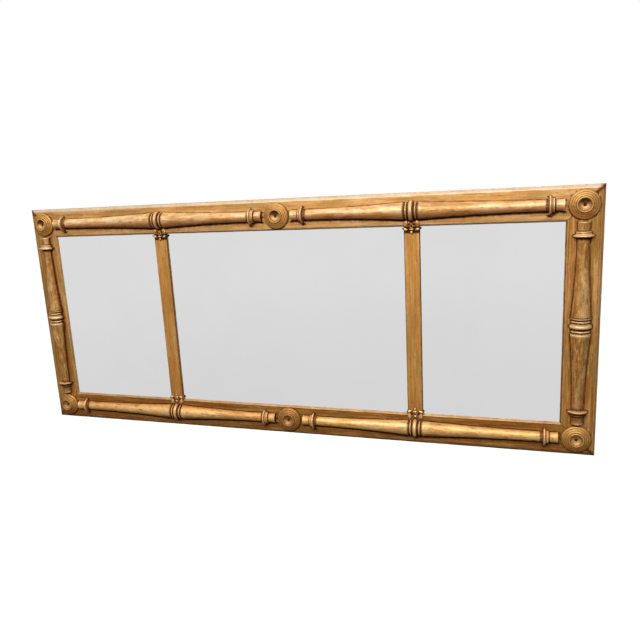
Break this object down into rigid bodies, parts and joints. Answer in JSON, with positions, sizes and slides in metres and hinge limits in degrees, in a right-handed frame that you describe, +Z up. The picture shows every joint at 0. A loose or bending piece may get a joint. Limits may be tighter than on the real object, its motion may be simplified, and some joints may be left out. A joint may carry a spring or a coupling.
{
  "type": "overmantel mirror",
  "caption": "Long low wall mirror with three plates in a gilt frame dressed with split balusters and turned roundels, hung on D-rings.",
  "frame": {"origin": "middle of the frame's lower back edge, on the wall plane", "axes": "+X to the viewer's right, +Y from the front to the wall, +Z up"},
  "size_m": [1.48, 0.0596, 0.61],
  "materials": {
    "gilt_wood": "antique gold leaf over wood, rubbed, grain showing",
    "gilt_bar": "antique gold leaf, worn and toned",
    "gilt_turning": "antique gold leaf on turned wood, burnished high spots",
    "gilt_ornament": "gilt casting with dark toned recesses",
    "raw_wood": "bare aged softwood",
    "mirror_plate": "silvered glass",
    "dark_steel": "darkened steel",
    "aged_brass": "aged brass plate"
  },
  "bodies": {
    "frame": {"top_rail": "gilt_wood", "bottom_rail": "gilt_wood", "left_stile": "gilt_wood", "right_stile": "gilt_wood", "corner_tongue_top_left": "raw_wood", "corner_tongue_top_right": "raw_wood", "corner_tongue_bottom_left": "raw_wood", "corner_tongue_bottom_right": "raw_wood", "left_muntin": "gilt_bar", "right_muntin": "gilt_bar", "roundel_top_left": "gilt_turning", "roundel_top_middle": "gilt_turning", "roundel_top_right": "gilt_turning", "roundel_bottom_left": "gilt_turning", "roundel_bottom_middle": "gilt_turning", "roundel_bottom_right": "gilt_turning", "baluster_top_left": "gilt_turning", "baluster_top_right": "gilt_turning", "baluster_bottom_left": "gilt_turning", "baluster_bottom_right": "gilt_turning", "baluster_left": "gilt_turning", "baluster_right": "gilt_turning", "baluster_brads": "dark_steel", "ornament_top_left": "gilt_ornament", "ornament_top_right": "gilt_ornament", "ornament_bottom_left": "gilt_ornament", "ornament_bottom_right": "gilt_ornament", "left_plate": "mirror_plate", "middle_plate": "mirror_plate", "right_plate": "mirror_plate", "left_backboard": "raw_wood", "middle_backboard": "raw_wood", "right_backboard": "raw_wood", "glazing_points": "dark_steel", "left_hanger_strap": "aged_brass", "right_hanger_strap": "aged_brass", "hanger_screws": "aged_brass"},
    "left_ring": {"left_hanger_ring": "aged_brass"},
    "right_ring": {"right_hanger_ring": "aged_brass"}
  },
  "joints": [
    {"name": "left_ring_swing", "type": "hinge", "parent": "frame", "child": "left_ring", "pos_m": [-0.699, 0.00285, 0.43], "axis": [-1, 0, 0], "range_deg": [0, 175]},
    {"name": "right_ring_swing", "type": "hinge", "parent": "frame", "child": "right_ring", "pos_m": [0.699, 0.00285, 0.43], "axis": [-1, 0, 0], "range_deg": [0, 175]}
  ]
}
